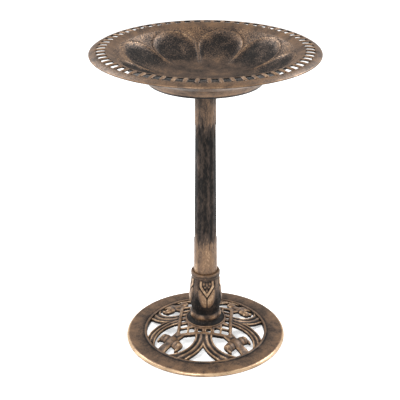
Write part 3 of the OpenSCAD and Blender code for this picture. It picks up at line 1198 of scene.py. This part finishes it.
    def store_rub(self, piece: bpy.types.Object) -> None:
        """Stores how much bronze the rag leaves, most on ridges that face up, with painted shade
        round the hub under the collar's flange.

        Args:
            piece: The openwork.
        """
        radius = polar(points_of(piece))[0]
        up = normals_of(piece)[:, 2]
        ridge = np.clip(stand_out(piece, 14) / 0.5, -1, 1)
        # Round the hub, under the collar's flange, the colour is made darker: painted shade
        rub = (0.34 + 0.42 * ridge) * ease(up, -0.1, 0.6) - 0.15 * (1 - ease(radius, 44, 56))
        write_values(piece, "rub", np.clip(rub, 0, 1))
        write_values(piece, "stipple", np.full(len(rub), 0.1))


# Studio


FLOOR_HALF_M = 9.0
# Light from all round, and what the camera sees behind the floor, which is as pale as the floor
ROUND_LIGHT = 0.5
BACKDROP = 1.0


def dress_nodes() -> None:
    """Gives the CAD nodes that stay their finishes."""
    finishes = {
        "bowl_plug": MOULDED_PLASTIC, "column_foot": MOULDED_PLASTIC, "seat_washer": SEAT_RUBBER,
        "column_head": HEAD_RESIN, "plug_screws": ZINC_STEEL, "captive_nut": ZINC_STEEL,
        "base_bolt": ZINC_STEEL, "bolt_washer": ZINC_STEEL, "collar_screws": ZINC_STEEL}
    made: dict[str, bpy.types.Material] = {}
    for name, finish in finishes.items():
        if finish.name not in made:
            made[finish.name] = finish.material()
        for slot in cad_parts[name].material_slots:
            slot.material = made[finish.name]
        log.info("%s: %s", name, finish.name)


def add_floor() -> None:
    """Adds the pale floor."""
    bm = bmesh.new()
    bmesh.ops.create_grid(bm, x_segments=1, y_segments=1, size=FLOOR_HALF_M)
    mesh = bpy.data.meshes.new("floor")
    bm.to_mesh(mesh)
    bm.free()
    floor = bpy.data.objects.new("floor", mesh)
    bpy.context.scene.collection.objects.link(floor)
    material, tree = new_material("pale_floor_paint")
    shader = add_node(tree, "ShaderNodeBsdfPrincipled", None, {
        "Base Color": linear("#f4f4f4"), "Roughness": 0.9, "Specular IOR Level": 0.1,
        "Emission Color": linear("#ffffff"), "Emission Strength": 0.5})
    add_node(tree, "ShaderNodeOutputMaterial", None, {"Surface": shader.outputs["BSDF"]})
    mesh.materials.append(material)


def add_light(name: str, at: tuple[float, float, float], size: tuple[float, float],
              watts: float) -> None:
    """Adds a soft rectangular light that looks at the middle of the object.

    Args:
        name: Its name.
        at: Where it hangs.
        size: Its width and height.
        watts: Its power.
    """
    lamp = bpy.data.lights.new(name, "AREA")
    lamp.shape = "RECTANGLE"
    lamp.size, lamp.size_y = size
    lamp.energy = watts
    light = bpy.data.objects.new(name, lamp)
    bpy.context.scene.collection.objects.link(light)
    middle = (CAD_BOX[0] + CAD_BOX[1]) / 2
    light.location = at
    light.rotation_euler = (middle - Vector(at)).to_track_quat("-Z", "Y").to_euler()


def add_studio() -> None:
    """Adds the white surroundings and the soft lights."""
    world = bpy.data.worlds.new("studio")
    world.use_nodes = True
    tree = world.node_tree
    seen = add_node(tree, "ShaderNodeLightPath").outputs["Is Camera Ray"]
    strength = add_node(tree, "ShaderNodeMath", {"operation": "MULTIPLY_ADD"}, {
        0: seen, 1: BACKDROP - ROUND_LIGHT, 2: ROUND_LIGHT})
    backdrop = tree.nodes["Background"].inputs
    backdrop["Color"].default_value = (1, 1, 1, 1)
    tree.links.new(strength.outputs[0], backdrop["Strength"])
    bpy.context.scene.world = world
    bpy.context.scene.view_settings.view_transform = "Standard"
    add_light("key", (-0.7, -1.8, 2.3), (0.8, 0.8), 50)
    add_light("left_strip", (-2.0, 0.3, 0.9), (0.5, 1.6), 10)
    add_light("right_strip", (2.0, 0.3, 0.9), (0.5, 1.6), 10)
    add_light("left_high", (-1.6, 1.0, 2.1), (1.0, 1.0), 34)
    add_light("right_high", (1.6, 1.0, 2.1), (1.0, 1.0), 48)


def add_camera() -> None:
    """Adds the camera: raised, looking down at the front, with a long lens."""
    yaw, pitch = math.radians(3.3), math.radians(24.687)
    distance, height = 2.11902, 1.3317
    data = bpy.data.cameras.new("camera")
    data.lens = 91.10
    data.shift_x = -0.01375
    camera = bpy.data.objects.new("camera", data)
    camera.location = (distance * math.sin(yaw), -distance * math.cos(yaw), height)
    camera.rotation_euler = (math.pi / 2 - pitch, 0, yaw)
    bpy.context.scene.collection.objects.link(camera)
    bpy.context.scene.camera = camera


def main() -> None:
    """Builds the object piece by piece, dresses it and sets up the studio."""
    logging.basicConfig(level=logging.INFO, format="%(name)s: %(message)s")
    add_camera()
    bowl_low, bowl_high = node_box("bowl")
    tube_low, tube_high = node_box("column_tube")
    collar_low, collar_high = node_box("leaf_collar")
    _, base_high = node_box("scroll_base")

    bowl = Bowl(lip_r=round(bowl_high.x, 0), crest_z=bowl_high.z, floor_z=652.0,
                foot_z=bowl_low.z + 1, boss_z=bowl_low.z)
    settle(bowl.build(), "bowl", BOWL_RESIN.material(), ["bowl"])
    column = Column(low_z=tube_low.z, top_z=tube_high.z, collar_z=collar_high.z)
    settle(column.build(), "pedestal", COLUMN_RESIN.material(), ["column_tube"])
    resin = BASE_RESIN.material()
    collar = Collar(low_z=collar_low.z, top_z=collar_high.z, flange_r=collar_high.x)
    settle(collar.build(), "pedestal", resin, ["leaf_collar"])
    base = Base(ring_r=base_high.x, hub_z=base_high.z)
    settle(base.build_ring(), "pedestal", resin, ["scroll_base"])
    settle(base.build_openwork(), "pedestal", resin, ["scroll_base"])
    dress_nodes()
    add_floor()
    add_studio()


if __name__ == "__main__":
    main()
